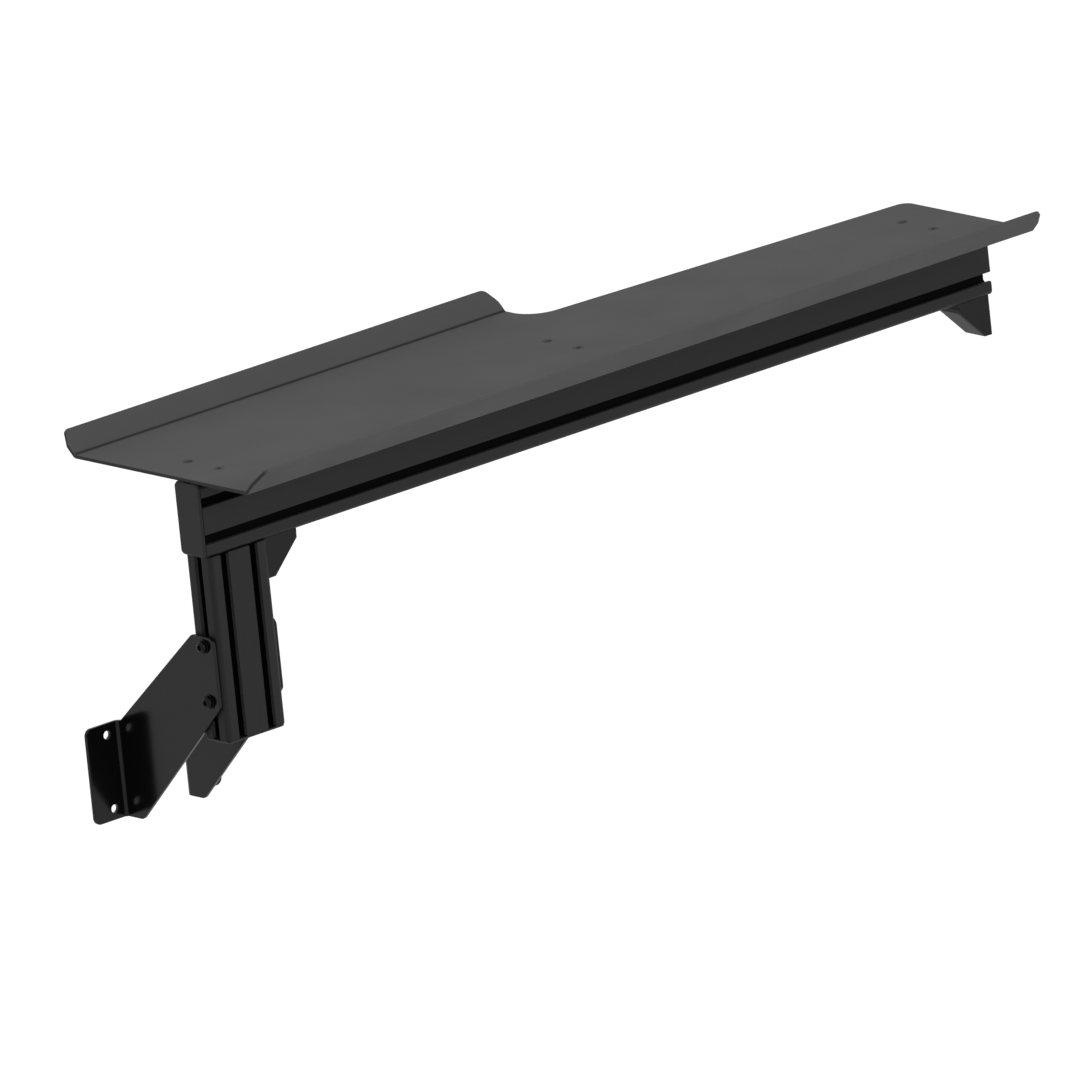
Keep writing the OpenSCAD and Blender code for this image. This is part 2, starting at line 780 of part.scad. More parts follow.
beam();
post();
beam_end_cap();
post_end_cap();
tray();
tray_screws();
tray_nuts();
left_bracket();
left_clamp_bolts();
left_clamp_washers();
left_clamp_nuts();
right_bracket();
right_clamp_bolts();
right_clamp_washers();
right_clamp_nuts();
near_corner_bracket();
near_corner_bolts();
near_corner_washers();
near_corner_nuts();
near_corner_cover();
far_corner_bracket();
far_corner_bolt();
far_corner_washer();
far_corner_nut();
far_corner_cover();
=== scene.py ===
"""Looks of a side table for a sim rig: a bent sheet tray on a slotted beam, a short post and two rig brackets.

Lengths in the shape functions are millimetres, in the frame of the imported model. They turn to metres in one
place, where a piece is made.
"""

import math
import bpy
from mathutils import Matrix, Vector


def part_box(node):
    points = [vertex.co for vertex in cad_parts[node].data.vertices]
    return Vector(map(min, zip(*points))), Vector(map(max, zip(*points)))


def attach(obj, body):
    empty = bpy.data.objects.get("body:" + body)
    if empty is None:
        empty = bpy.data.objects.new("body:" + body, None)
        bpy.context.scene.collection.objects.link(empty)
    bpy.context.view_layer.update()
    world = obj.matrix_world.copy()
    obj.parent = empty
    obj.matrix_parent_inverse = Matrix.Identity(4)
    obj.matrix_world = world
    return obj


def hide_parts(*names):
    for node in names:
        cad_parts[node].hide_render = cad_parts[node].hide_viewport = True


bl_info = {
    "name": "Sim Rig Side Table",
    "version": (1, 0, 0),
    "blender": (4, 5, 0),
    "location": "View3D > Sidebar > Side Table",
    "description": "Builds the visible pieces of a side table for a sim rig and a plain studio around it",
    "category": "Object",
}

import bmesh
import bpy
import numpy as np
from bpy.props import FloatProperty, FloatVectorProperty, PointerProperty
from bpy.types import Operator, Panel, PropertyGroup
from mathutils import Matrix, Vector
from mathutils.geometry import tessellate_polygon

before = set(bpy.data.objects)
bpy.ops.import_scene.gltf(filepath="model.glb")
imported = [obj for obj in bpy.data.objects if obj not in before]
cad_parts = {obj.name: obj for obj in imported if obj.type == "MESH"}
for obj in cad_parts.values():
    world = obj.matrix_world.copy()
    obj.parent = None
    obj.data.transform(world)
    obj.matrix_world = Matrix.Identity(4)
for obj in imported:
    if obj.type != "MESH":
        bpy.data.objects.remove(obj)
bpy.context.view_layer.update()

MM = 0.001

# Sheet of the tray: how far its bends lie from the beam, how its lips are cut, and its step
SHEET_T = 4.0
SHEET_BEND_R = 3.0
LIP_TURN = math.radians(45)
FRONT_REACH = 75.0
REAR_REACH = 160.0
FRONT_LIP = 37.0
REAR_LIP = 33.5
LIP_SLANT_FROM = 15.0
LIP_SLANT = 8.5
LIP_CORNER_R = 6.0
LIP_START_R = 8.0
FAR_CORNER_R = 9.0
FAR_START_R = 20.0
WIDE_L = 600.0
NARROW_AT_STEP = 115.0
NARROW_AT_END = 86.0
STEP_FILLET_R = 32.0
END_CORNER_R = 13.0

# Screws of the tray, and the row of spare holes behind them
SCREW_FIRST = 44.5
SCREW_PITCH = 500.0
SCREW_COUNT = 3
SCREW_BORE_R = 3.1
SCREW_L = 14.0
SPARE_ROW = 50.0

# Slotted profile, on a grid of 40 mm, and the middle plane that the beam and the post share
GRID = 40.0
MIDDLE_Y = -158.0
PROFILE_CORNER_R = 6.0
SLOT_MOUTH = 5.1
SLOT_INNER = 10.1
SLOT_LIP = 4.5
SLOT_SHOULDER = 7.5
SLOT_DEPTH = 12.5
WEB = 2.4
BORE_R = 3.4
CORNER_HOLLOW = 2.2

# Rig brackets: the crank leaves the foot at CRANK_Y and meets the clamp's edges at CLAMP_EDGE and CLAMP_TOP
PLATE_T = 4.0
PLATE_BEND_R = 4.0
PLATE_CORNER_R = 8.0
PLATE_INNER_R = 1.5
PLATE_BORE_R = 4.5
CRANK_Y = -29.5
CLAMP_EDGE = 76.6
CLAMP_TOP = 34.2
CLAMP_Z = (95.0, 155.0)
RIG_BOLT_Z = 40.0
RIG_BOLT_OUT = 15.7

# Round-head bolts with their washers, and their places in the corner castings
BOLT_L = 16.0
HEAD_R = 6.5
HEAD_H = 4.6
WASHER_T = 1.6
LEG_T = 5.0
BOLT_AT = 22.5
FAR_GAP = 2.5


def linear(code):
    """Linear red, green, blue and alpha of an sRGB hex colour: c/12.92 below 0.04045, else ((c+0.055)/1.055)^2.4."""
    c = np.array([int(code[i : i + 2], 16) for i in (1, 3, 5)]) / 255
    return (*np.where(c <= 0.04045, c / 12.92, ((c + 0.055) / 1.055) ** 2.4).tolist(), 1.0)


def ends(node):
    """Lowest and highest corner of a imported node, in millimetres."""
    low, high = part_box(node)
    return np.array(low) / MM, np.array(high) / MM


# Outlines


def rounded(points, radii, step):
    """Closed outline of straight edges with an arc at each corner, in steps of so many degrees.

    With u and v the unit directions from a corner p to its neighbours and h half the angle between them, the
    arc's middle is p + (u+v)/|u+v| r/sin h, and it runs from p + u r/tan h to p + v r/tan h.
    """
    pts = np.asarray(points, float)
    arcs = []
    for p, before, after, r in zip(pts, np.roll(pts, 1, 0), np.roll(pts, -1, 0), radii):
        u = (before - p) / np.linalg.norm(before - p)
        v = (after - p) / np.linalg.norm(after - p)
        half = math.acos(np.clip(u @ v, -1, 1)) / 2
        middle = p + (u + v) / np.linalg.norm(u + v) * r / math.sin(half)
        start, end = p + u * r / math.tan(half) - middle, p + v * r / math.tan(half) - middle
        first = math.atan2(start[1], start[0])
        turn = (math.atan2(end[1], end[0]) - first + math.pi) % (2 * math.pi) - math.pi
        angle = first + turn * np.linspace(0, 1, max(2, math.ceil(abs(math.degrees(turn)) / step)) + 1)
        arcs.append(middle + r * np.stack([np.cos(angle), np.sin(angle)], 1))
    line = np.concatenate(arcs)
    return line[np.linalg.norm(line - np.roll(line, 1, 0), axis=1) > 1e-4]


def hole(middle, r, count=48):
    """Round outline that runs clockwise, so that its outside lies in the hole: m + r (cos a, -sin a)."""
    angle = np.linspace(0, 2 * math.pi, count, endpoint=False)
    return np.asarray(middle, float) + r * np.stack([np.cos(angle), -np.sin(angle)], 1)


def outward(line):
    """Way out of the material at each point: (n + m) / (1 + n.m) with n and m the normals of its two edges."""
    edge = np.roll(line, -1, 0) - line
    n = np.stack([edge[:, 1], -edge[:, 0]], 1) / np.linalg.norm(edge, axis=1, keepdims=True)
    m = np.roll(n, 1, 0)
    return (n + m) / (1 + (n * m).sum(1, keepdims=True))


def soft_edges(height, r, steps=4):
    """Stations (inset, height) of a wall with both edges rounded: r - r sin a, r - r cos a, and its mirror."""
    a = np.linspace(0, math.pi / 2, steps + 1)
    low = np.stack([r - r * np.sin(a), r - r * np.cos(a)], 1)
    high = np.stack([low[::-1, 0], height - low[::-1, 1]], 1)
    return np.concatenate([low, high])


def carried(walls):
    """Points and faces of a closed solid whose outlines are carried up through stations.

    A wall is an outline with its stations. The station (d, h) puts the outline minus d times its way out at
    the height h. The first and last rings of all walls bound the two flat ends.
    """
    points, faces, first, last, base = [], [], [], [], 0
    for line, stations in walls:
        st = np.asarray(stations, float)
        ring = line[None] - st[:, 0, None, None] * outward(line)[None]
        height = np.broadcast_to(st[:, 1, None, None], ring.shape[:2] + (1,))
        points.append(np.concatenate([ring, height], 2).reshape(-1, 3))
        i = base + np.arange(len(st) * len(line)).reshape(len(st), len(line))
        j = np.roll(i, -1, 1)
        faces += np.stack([i[:-1], j[:-1], j[1:], i[1:]], -1).reshape(-1, 4).tolist()
        first.append(i[0])
        last.append(i[-1])
        base += i.size
    co = np.concatenate(points)
    for rings, up in ((first, False), (last, True)):
        order = np.concatenate(rings)
        fill = order[np.array(tessellate_polygon([list(map(Vector, co[r, :2].tolist())) for r in rings]))]
        a, b, c = (co[fill[:, k], :2] for k in range(3))
        area = (b[:, 0] - a[:, 0]) * (c[:, 1] - a[:, 1]) - (b[:, 1] - a[:, 1]) * (c[:, 0] - a[:, 0])
        wrong = (area > 0) != up
        fill[wrong] = fill[wrong][:, ::-1]
        faces += fill.tolist()
    return co, faces


def turned(radii, heights, ring=False):
    """Points and faces of r(row, angle), z(row): x = r cos a, y = r sin a, closed at its poles or as a ring."""
    rows, columns = radii.shape
    a = np.linspace(0, 2 * math.pi, columns, endpoint=False)
    z = np.broadcast_to(np.asarray(heights, float)[:, None], radii.shape)
    co = np.stack([radii * np.cos(a), radii * np.sin(a), z], -1).reshape(-1, 3)
    i = np.arange(rows * columns).reshape(rows, columns)
    low, high = (i, np.roll(i, -1, 0)) if ring else (i[:-1], i[1:])
    faces = np.stack([low, np.roll(low, -1, 1), np.roll(high, -1, 1), high], -1).reshape(-1, 4).tolist()
    if not ring:
        co = np.concatenate([co, [[0, 0, heights[0]], [0, 0, heights[-1]]]])
        pole = np.full(columns, rows * columns)
        faces += np.stack([np.roll(i[0], -1), i[0], pole], -1).tolist()
        faces += np.stack([i[-1], np.roll(i[-1], -1), pole + 1], -1).tolist()
    return co, faces


def stood(shape, axis, place, spin=0.0):
    """The shape with its +Z on the axis, spun about it and moved: p = x e1 + y e2 + z e3 + place."""
    co, faces = shape
    z = np.asarray(axis, float)
    x = np.array([0, 0, 1.0]) if abs(z[2]) < 0.5 else np.array([1.0, 0, 0])
    y = np.cross(z, x)
    e1 = math.cos(spin) * x + math.sin(spin) * y
    return co @ np.stack([e1, np.cross(z, e1), z]) + np.asarray(place, float), faces


def joined(shapes):
    """Several closed shapes as one list of points and faces, each face shifted by the points before it."""
    co, faces, base = [], [], 0
    for points, sides in shapes:
        co.append(points)
        faces += [[k + base for k in side] for side in sides]
        base += len(points)
    return np.concatenate(co), faces


# Meshes


def new_mesh(name, shape):
    """Mesh of the points and faces of a shape, still in millimetres."""
    mesh = bpy.data.meshes.new(name)
    mesh.from_pydata(shape[0].tolist(), [], shape[1])
    mesh.update()
    return mesh


def read_points(mesh):
    """Points of a mesh as rows of x, y, z."""
    co = np.empty(len(mesh.vertices) * 3)
    mesh.vertices.foreach_get("co", co)
    return co.reshape(-1, 3)


def cut_across(mesh, places):
    """Cuts every face of a flat blank along the lines y = place, so that it can bend there."""
    bm = bmesh.new()
    bm.from_mesh(mesh)
    for y in places:
        blank = bm.verts[:] + bm.edges[:] + bm.faces[:]
        bmesh.ops.bisect_plane(bm, geom=blank, dist=1e-5, plane_co=(0, y, 0), plane_no=(0, 1, 0))
    bm.to_mesh(mesh)
    bm.free()


def bend_length(inner_r, thickness, turn):
    """Length of blank that a bend takes: its arc at mid thickness, (r + t/2) a."""
    return (inner_r + thickness / 2) * turn


def bent(co, start, side, inner_r, thickness, turn):
    """Blank (x, y, h) bent up towards +h beyond the line y = start, on the side +1 or -1.

    With t = side (y - start), L the bend's length, a = turn clip(t/L, 0, 1), s = max(t - L, 0) and
    q = r + T - h: y' = start + side (q sin a + s cos a), h' = r + T - q cos a + s sin a.
    """
    length = bend_length(inner_r, thickness, turn)
    t = side * (co[:, 1] - start)
    a = turn * np.clip(t / length, 0, 1)
    s = np.maximum(t - length, 0)
    q = inner_r + thickness - co[:, 2]
    past = t > 0
    out = co.copy()
    out[past, 1] = (start + side * (q * np.sin(a) + s * np.cos(a)))[past]
    out[past, 2] = (inner_r + thickness - q * np.cos(a) + s * np.sin(a))[past]
    return out


def linked(name, data):
    """New object in the scene, at the origin."""
    made = bpy.data.objects.new(name, data)
    bpy.context.scene.collection.objects.link(made)
    return made


def dress(name, mesh, nodes, material, body):
    """Gives a finished mesh its material and its body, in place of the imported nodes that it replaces."""
    mesh.materials.clear()
    mesh.materials.append(material)
    piece = linked(name, mesh)
    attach(piece, body)
    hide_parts(*nodes)
    return piece


def add_piece(name, mesh, co, nodes, material, body="table"):
    """Puts a finished piece into the scene, in metres, with its faces outwards and smooth normals.

    Each point's normal is the sum of the face normals around it, times their areas, so flat faces stay flat
    beside their narrow rounded edges. The sign of the volume, the sum of a.(b x c)/6, shows which way they face.
    """
    mesh.vertices.foreach_set("co", (co * MM).ravel())
    mesh.update()
    mesh.calc_loop_triangles()
    tri = np.empty(len(mesh.loop_triangles) * 3, np.int64)
    mesh.loop_triangles.foreach_get("vertices", tri)
    tri = tri.reshape(-1, 3)
    a, b, c = (co[tri[:, k]] for k in range(3))
    across = np.cross(b - a, c - a)
    if (a * np.cross(b, c)).sum() < 0:
        mesh.flip_normals()
        across = -across
    normal = np.zeros_like(co)
    for k in range(3):
        np.add.at(normal, tri[:, k], across)
    normal /= np.maximum(np.linalg.norm(normal, axis=1, keepdims=True), 1e-12)
    mesh.polygons.foreach_set("use_smooth", np.ones(len(mesh.polygons), bool))
    mesh.normals_split_custom_set_from_vertices(normal.tolist())
    dress(name, mesh, nodes, material, body)


def add_shape(name, shape, nodes, material, body="table"):
    """Adds a piece straight from the points and faces of a shape."""
    add_piece(name, new_mesh(name, shape), shape[0], nodes, material, body)


def mark_faces(mesh, name, values):
    """Keeps one number for each face of a mesh, which a material can read by its name."""
    mark = mesh.attributes.new(name, "FLOAT", "FACE")
    mark.data.foreach_set("value", np.asarray(values, np.float32))


def read_faces(mesh, key):
    """Middles or normals of a mesh's faces as rows of x, y, z."""
    out = np.empty(len(mesh.polygons) * 3)
    mesh.polygons.foreach_get(key, out)
    return out.reshape(-1, 3)


def add_softened(name, node, width, material):
    """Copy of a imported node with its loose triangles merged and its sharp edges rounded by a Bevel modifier."""
    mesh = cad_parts[node].data.copy()
    mesh.name = name
    bm = bmesh.new()
    bm.from_mesh(mesh)
    bmesh.ops.remove_doubles(bm, verts=bm.verts[:], dist=1e-6)
    bmesh.ops.dissolve_limit(bm, angle_limit=math.radians(0.5), verts=bm.verts[:], edges=bm.edges[:])
    bm.to_mesh(mesh)
    bm.free()
    mesh.polygons.foreach_set("use_smooth", np.ones(len(mesh.polygons), bool))
    piece = dress(name, mesh, [node], material, "table")
    bevel = piece.modifiers.new("rounded edges", "BEVEL")
    bevel.width = width
    bevel.segments = 3
    bevel.limit_method = "ANGLE"
    bevel.angle_limit = math.radians(30)
    bevel.use_clamp_overlap = True
    piece.modifiers.new("flat faces", "WEIGHTED_NORMAL").keep_sharp = False


# Materials

# Sockets of a Mix node: its two colours with the mixed one, and its two numbers
COLOUR_A, COLOUR_B, COLOUR_OUT = 6, 7, 2
NUMBER_A, NUMBER_B = 2, 3


def put(tree, kind, values=None, links=None, **settings):
    """Adds one node with its settings, its fixed inputs and the sockets that feed it."""
    made = tree.nodes.new(kind)
    for key, value in settings.items():
        setattr(made, key, value)
    for key, value in (values or {}).items():
        made.inputs[key].default_value = value
    for key, socket in (links or {}).items():
        tree.links.new(socket, made.inputs[key])
    return made


def empty_material(name):
    """A material with an empty node tree."""
    material = bpy.data.materials.new(name)
    material.use_nodes = True
    material.node_tree.nodes.clear()
    return material, material.node_tree


def shades(colour, *factors):
    """The colour times each factor, held below white."""
    return [tuple(min(c * k, 1.0) for c in colour[:3]) + (1.0,) for k in factors]


def powder_coat(name, colour, grain, depth, roughness, ior):
    """Baked polyester powder: an even coat with a fine pebbled skin and a slightly uneven sheen.

    grain is the width of the pebbles and depth their height, both in metres. The real pebbles are about
    0.3 mm wide, and they are drawn coarser so that they show at the size of the picture. The tone drifts over
    about 90 mm. Faces marked with painted shade, inside a bend and on a cut end, take a much darker copy of
    the coat: a painted shadow in the bend, and painted shade for the dim light on the cut ends.
    """
    material, tree = empty_material(name)
    where = put(tree, "ShaderNodeTexCoord").outputs["Object"]
    cloud = 0.09
    pebbles = put(tree, "ShaderNodeTexNoise", {"Scale": 1 / grain, "Detail": 2.0, "Roughness": 0.55}, {"Vector": where})
    drift = put(tree, "ShaderNodeTexNoise", {"Scale": 1 / cloud, "Detail": 3.0, "Roughness": 0.5}, {"Vector": where})
    speck = put(tree, "ShaderNodeMath", {1: 0.35}, {0: pebbles.outputs["Fac"]}, operation="MULTIPLY")
    sources = {0: drift.outputs["Fac"], 2: speck.outputs[0]}
    both = put(tree, "ShaderNodeMath", {1: 0.65}, sources, operation="MULTIPLY_ADD")
    dark, light, painted_shade = shades(colour, 0.93, 1.07, 0.12)
    tone = put(tree, "ShaderNodeMix", {COLOUR_A: dark, COLOUR_B: light}, {0: both.outputs[0]}, data_type="RGBA")
    # Painted shade: faces marked in the mesh take a copy of the coat at 0.12 of its colour
    painted_shade_mark = put(tree, "ShaderNodeAttribute", attribute_name="painted_shade_mark")
    sources = {0: painted_shade_mark.outputs["Fac"], COLOUR_A: tone.outputs[COLOUR_OUT]}
    tone = put(tree, "ShaderNodeMix", {COLOUR_B: painted_shade}, sources, data_type="RGBA")
    span = {"From Min": 0.3, "From Max": 0.7, "To Min": roughness * 0.9, "To Max": roughness * 1.1}
    sheen = put(tree, "ShaderNodeMapRange", span, {"Value": both.outputs[0]})
    bump = put(tree, "ShaderNodeBump", {"Strength": 1.0, "Distance": depth}, {"Height": pebbles.outputs["Fac"]})
    sources = {"Base Color": tone.outputs[COLOUR_OUT], "Roughness": sheen.outputs[0], "Normal": bump.outputs[0]}
    shader = put(tree, "ShaderNodeBsdfPrincipled", {"IOR": ior}, sources)
    put(tree, "ShaderNodeOutputMaterial", None, {"Surface": shader.outputs[0]})
    return material


def anodised_aluminium(name, colour, along, roughness):
    """Black anodised aluminium, pressed through a die: an etched oxide skin with faint lines along the profile.

    The lines are about 0.4 mm apart and 250 mm long, and the etched grain is 0.5 mm wide. Faces marked as a
    mouth are the slots' lips, painted many times lighter: a painted light on walls that lie in shade. Faces
    marked as a recess lie deeper in a slot and take a plain diffuse shader without the skin's gloss: a painted
    shade that keeps them dark.
    """
    material, tree = empty_material(name)
    where = put(tree, "ShaderNodeTexCoord").outputs["Object"]
    line_gap, line_run, etch_width = 0.0004, 0.25, 0.0005
    spacing = [1 / line_gap] * 3
    spacing[along] = 1 / line_run
    drawn = put(tree, "ShaderNodeMapping", {"Scale": spacing}, {"Vector": where}).outputs[0]
    lines = put(tree, "ShaderNodeTexNoise", {"Scale": 1.0, "Detail": 3.0, "Roughness": 0.6}, {"Vector": drawn})
    etch = put(tree, "ShaderNodeTexNoise", {"Scale": 1 / etch_width, "Detail": 2.0}, {"Vector": where})
    dark, light, painted_light, deep = shades(colour, 0.9, 1.1, 14.0, 1.2)
    tone = put(tree, "ShaderNodeMix", {COLOUR_A: dark, COLOUR_B: light}, {0: lines.outputs["Fac"]}, data_type="RGBA")
    # Painted light: the marked lips take a copy of the oxide fourteen times lighter
    mouth = put(tree, "ShaderNodeAttribute", attribute_name="mouth")
    sources = {0: mouth.outputs["Fac"], COLOUR_A: tone.outputs[COLOUR_OUT]}
    tone = put(tree, "ShaderNodeMix", {COLOUR_B: painted_light}, sources, data_type="RGBA")
    span = {"From Min": 0.3, "From Max": 0.7, "To Min": roughness - 0.06, "To Max": roughness + 0.06}
    sheen = put(tree, "ShaderNodeMapRange", span, {"Value": lines.outputs["Fac"]})
    sources = {0: etch.outputs["Fac"], 2: lines.outputs["Fac"]}
    relief = put(tree, "ShaderNodeMath", {1: 0.5}, sources, operation="MULTIPLY_ADD")
    bump = put(tree, "ShaderNodeBump", {"Strength": 1.0, "Distance": 0.000012}, {"Height": relief.outputs[0]})
    sources = {"Base Color": tone.outputs[COLOUR_OUT], "Roughness": sheen.outputs[0], "Normal": bump.outputs[0]}
    skin = put(tree, "ShaderNodeBsdfPrincipled", {"IOR": 1.33}, sources)
    # Painted shade: the marked recess faces take a plain diffuse shader without gloss, so they show dark
    recess_shade = put(tree, "ShaderNodeBsdfDiffuse", {"Color": deep, "Roughness": 1.0})
    recess = put(tree, "ShaderNodeAttribute", attribute_name="recess")
    both = put(tree, "ShaderNodeMixShader", None, {0: recess.outputs["Fac"], 1: skin.outputs[0], 2: recess_shade.outputs[0]})
    put(tree, "ShaderNodeOutputMaterial", None, {"Surface": both.outputs[0]})
    return material


def grained_plastic(name, colour, roughness):
    """Injection moulded nylon with glass fibre: an eroded grain of cells about 0.5 mm wide, and a dull sheen."""
    material, tree = empty_material(name)
    where = put(tree, "ShaderNodeTexCoord").outputs["Object"]
    cell, cloud = 0.0005, 0.02
    cells = put(tree, "ShaderNodeTexVoronoi", {"Scale": 1 / cell}, {"Vector": where}, feature="SMOOTH_F1")
    drift = put(tree, "ShaderNodeTexNoise", {"Scale": 1 / cloud, "Detail": 3.0}, {"Vector": where})
    dark, light = shades(colour, 0.9, 1.1)
    tone = put(tree, "ShaderNodeMix", {COLOUR_A: dark, COLOUR_B: light}, {0: drift.outputs["Fac"]}, data_type="RGBA")
    span = {"From Min": 0.0, "From Max": 0.8, "To Min": roughness + 0.05, "To Max": roughness - 0.05}
    sheen = put(tree, "ShaderNodeMapRange", span, {"Value": cells.outputs["Distance"]})
    bump = put(tree, "ShaderNodeBump", {"Strength": 1.0, "Distance": 0.00002}, {"Height": cells.outputs["Distance"]})
    sources = {"Base Color": tone.outputs[COLOUR_OUT], "Roughness": sheen.outputs[0], "Normal": bump.outputs[0]}
    shader = put(tree, "ShaderNodeBsdfPrincipled", {"IOR": 1.38}, sources)
    put(tree, "ShaderNodeOutputMaterial", None, {"Surface": shader.outputs[0]})
    return material


def finished_steel(name, colour, roughness, spots):
    """Blackened or plated steel: a metal with fine scratches, whose gloss is blotchy over about 4 mm."""
    material, tree = empty_material(name)
    where = put(tree, "ShaderNodeTexCoord").outputs["Object"]
    patch, grit = 0.004, 0.0003
    blotch = put(tree, "ShaderNodeTexNoise", {"Scale": 1 / patch, "Detail": 4.0, "Roughness": 0.6}, {"Vector": where})
    scratch = put(tree, "ShaderNodeTexNoise", {"Scale": 1 / grit, "Detail": 2.0}, {"Vector": where})
    dark, light = shades(colour, 1 - spots, 1 + spots)
    tone = put(tree, "ShaderNodeMix", {COLOUR_A: dark, COLOUR_B: light}, {0: blotch.outputs["Fac"]}, data_type="RGBA")
    span = {"From Min": 0.3, "From Max": 0.7, "To Min": roughness - 0.07, "To Max": roughness + 0.07}
    sheen = put(tree, "ShaderNodeMapRange", span, {"Value": blotch.outputs["Fac"]})
    bump = put(tree, "ShaderNodeBump", {"Strength": 1.0, "Distance": 0.000006}, {"Height": scratch.outputs["Fac"]})
    sources = {"Base Color": tone.outputs[COLOUR_OUT], "Roughness": sheen.outputs[0], "Normal": bump.outputs[0]}
    shader = put(tree, "ShaderNodeBsdfPrincipled", {"Metallic": 1.0}, sources)
    put(tree, "ShaderNodeOutputMaterial", None, {"Surface": shader.outputs[0]})
    return material


def shared_material(name, make, *values):
    """The material of that name, made on first use."""
    return bpy.data.materials.get(name) or make(name, *values)


# Shapes


def tray_blank(edge_r):
    """Flat blank of the tray as x from its left end, y along the sheet and h through it, and its bend lines.

    A corner of the bent sheet lies (r + t) tan(a/2) past its bend line. A hole's seat is a bevel below, a bore
    and a 45 degree cone for the screw's head.
    """
    beam_low, beam_high = ends("beam")
    setback = (SHEET_BEND_R + SHEET_T) * math.tan(LIP_TURN / 2)
    length = bend_length(SHEET_BEND_R, SHEET_T, LIP_TURN)
    rear = beam_high[1]
    front_start = beam_low[1] - FRONT_REACH + setback
    rear_start = rear + REAR_REACH - setback
    front_edge = front_start - length - (FRONT_LIP - setback)
    rear_edge = rear_start + length + (REAR_LIP - setback)
    total = beam_high[0] - beam_low[0]
    front_slant = front_start - length - (LIP_SLANT_FROM - setback)
    rear_slant = rear_start + length + (LIP_SLANT_FROM - setback)
    corners = [
        ((0, front_slant), LIP_START_R),
        ((LIP_SLANT, front_edge), LIP_CORNER_R),
        ((total - LIP_SLANT, front_edge), FAR_CORNER_R),
        ((total, front_slant), FAR_START_R),
        ((total, rear + NARROW_AT_END), END_CORNER_R),
        ((WIDE_L, rear + NARROW_AT_STEP), STEP_FILLET_R),
        ((WIDE_L, rear_slant), FAR_START_R),
        ((WIDE_L - LIP_SLANT, rear_edge), FAR_CORNER_R),
        ((LIP_SLANT, rear_edge), LIP_CORNER_R),
        ((0, rear_slant), LIP_START_R),
    ]
    line = rounded([place for place, _ in corners], [r for _, r in corners], 4.0)
    seat = [(0.3, 0), (0.1, 0.1), (0, 0.3), (0, 1.0), (2.8, 3.8), (3.0, 3.93), (3.1, 4.0)]
    row = (beam_low[1] + beam_high[1]) / 2
    places = [(SCREW_FIRST + k * SCREW_PITCH, y) for k in range(SCREW_COUNT) for y in (row, row + SPARE_ROW)]
    holes = [(hole(place, SCREW_BORE_R), seat) for place in places]
    return carried([(line, soft_edges(SHEET_T, edge_r))] + holes), front_start, rear_start, length


def profile_walls(stations):
    """Walls of the slotted profile, two grids wide along x and one along y, with its bores and hollows.

    A slot is a mouth that opens behind its lips and narrows again at 45 degrees to its floor. The chamber in
    the middle keeps one web from the slots, and its flanks run along the slots' slanted sides.
    """
    half = [
        (-SLOT_MOUTH, 0),
        (-SLOT_MOUTH, SLOT_LIP),
        (-SLOT_INNER, SLOT_LIP),
        (-SLOT_INNER, SLOT_SHOULDER),
        (-SLOT_MOUTH, SLOT_DEPTH),
    ]
    half_r = [0.8, 0.4, 0.8, 0.8, 0.8]
    slot = np.array(half + [(-a, d) for a, d in half[::-1]])
    points, radii = [], []
    for corner, way in (((-1, -1), (1, 0)), ((1, -1), (0, 1)), ((1, 1), (-1, 0)), ((-1, 1), (0, -1))):
        count, reach = (2, GRID / 2) if way[0] else (1, GRID)
        way = np.array(way, float)
        inward = np.array([-way[1], way[0]])
        points.append([np.array(corner) * (GRID, GRID / 2)])
        radii += [PROFILE_CORNER_R]
        for k in range(count):
            middle = -inward * reach + way * (GRID * k - GRID / 2 * (count - 1))
            points.append(middle + slot[:, :1] * way + slot[:, 1:] * inward)
            radii += half_r + half_r[::-1]
    walls = [(rounded(np.concatenate(points), radii, 12.0), stations)]
    square = CORNER_HOLLOW * np.array([(-1, -1), (-1, 1), (1, 1), (1, -1)])
    out = (SLOT_INNER + GRID / 2) / 2
    for x in (-GRID / 2, GRID / 2):
        walls.append((hole((x, 0), BORE_R, 40), stations))
        for y in (-out, out):
            walls.append((rounded(square + (x + math.copysign(out, x), y), [0.6] * 4, 30.0), stations))
    beside_slot = GRID / 2 - SLOT_INNER - WEB
    beside_bore = GRID / 2 - BORE_R - 1.5 * WEB
    top = GRID / 2 - SLOT_LIP
    flank = beside_slot + top - (SLOT_SHOULDER - SLOT_LIP) - WEB * (math.sqrt(2) - 1)
    quarter = [(beside_slot, top), (beside_slot, flank - beside_slot), (beside_bore, flank - beside_bore)]
    right = quarter + [(x, -y) for x, y in quarter[::-1]]
    chamber = right + [(-x, y) for x, y in right[::-1]]
    walls.append((rounded(chamber, [0.8] * len(chamber), 30.0), stations))
    return walls


def profile_length(length, chamfer):
    """Stations of a sawn length of profile: a small chamfer at each end."""
    return [(chamfer, 0), (0, chamfer), (0, length - chamfer), (chamfer, length)]


def turned_rows(rows, columns):
    """Turned shape from rows of a radius and a height, where a radius is one number or one for each column."""
    return turned(np.stack([np.broadcast_to(r, columns) for r, _ in rows]), [z for _, z in rows])


